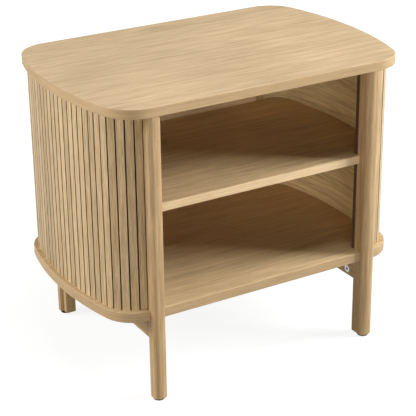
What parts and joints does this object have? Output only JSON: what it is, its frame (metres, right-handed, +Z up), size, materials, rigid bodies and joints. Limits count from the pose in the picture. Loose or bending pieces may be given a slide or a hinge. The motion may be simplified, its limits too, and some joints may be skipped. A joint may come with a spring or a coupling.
{
  "type": "open-shelf nightstand",
  "caption": "Open nightstand: bowed top and base on legs, curved walls of upright slats, a middle shelf and an open front.",
  "frame": {"origin": "on the floor under the centre of the top panel, which is also the middle of the whole object in plan", "axes": "+X to the right of someone facing the open front, +Y from the front to the back, +Z up"},
  "size_m": [0.6, 0.402, 0.525],
  "materials": {
    "veneered_board": "matt lacquered light oak veneer on board, grain along the width",
    "inner_veneer": "matt lacquered light oak veneer on thin board",
    "slat_wood": "matt lacquered light oak veneer, grain upright",
    "solid_wood": "matt lacquered light hardwood, grain along the piece",
    "dowel_wood": "bare beech",
    "plated_metal": "dull zinc plate",
    "glide_plastic": "black, lightly textured"
  },
  "bodies": {
    "root": {"top_panel": "veneered_board", "base_panel": "veneered_board", "middle_shelf": "veneered_board", "back_panel": "inner_veneer", "left_liner": "inner_veneer", "right_liner": "inner_veneer", "left_slats": "slat_wood", "right_slats": "slat_wood", "front_left_leg": "solid_wood", "front_right_leg": "solid_wood", "rear_left_leg": "solid_wood", "rear_right_leg": "solid_wood", "left_side_rail": "solid_wood", "right_side_rail": "solid_wood", "cam_locks": "plated_metal", "cam_bolts": "plated_metal", "base_screws": "plated_metal", "glide_nails": "plated_metal", "leg_top_dowels": "dowel_wood", "base_dowels": "dowel_wood", "rail_dowels": "dowel_wood", "back_panel_dowels": "dowel_wood", "shelf_dowels": "dowel_wood", "front_left_foot_glide": "glide_plastic", "front_right_foot_glide": "glide_plastic", "rear_left_foot_glide": "glide_plastic", "rear_right_foot_glide": "glide_plastic"}
  },
  "joints": []
}
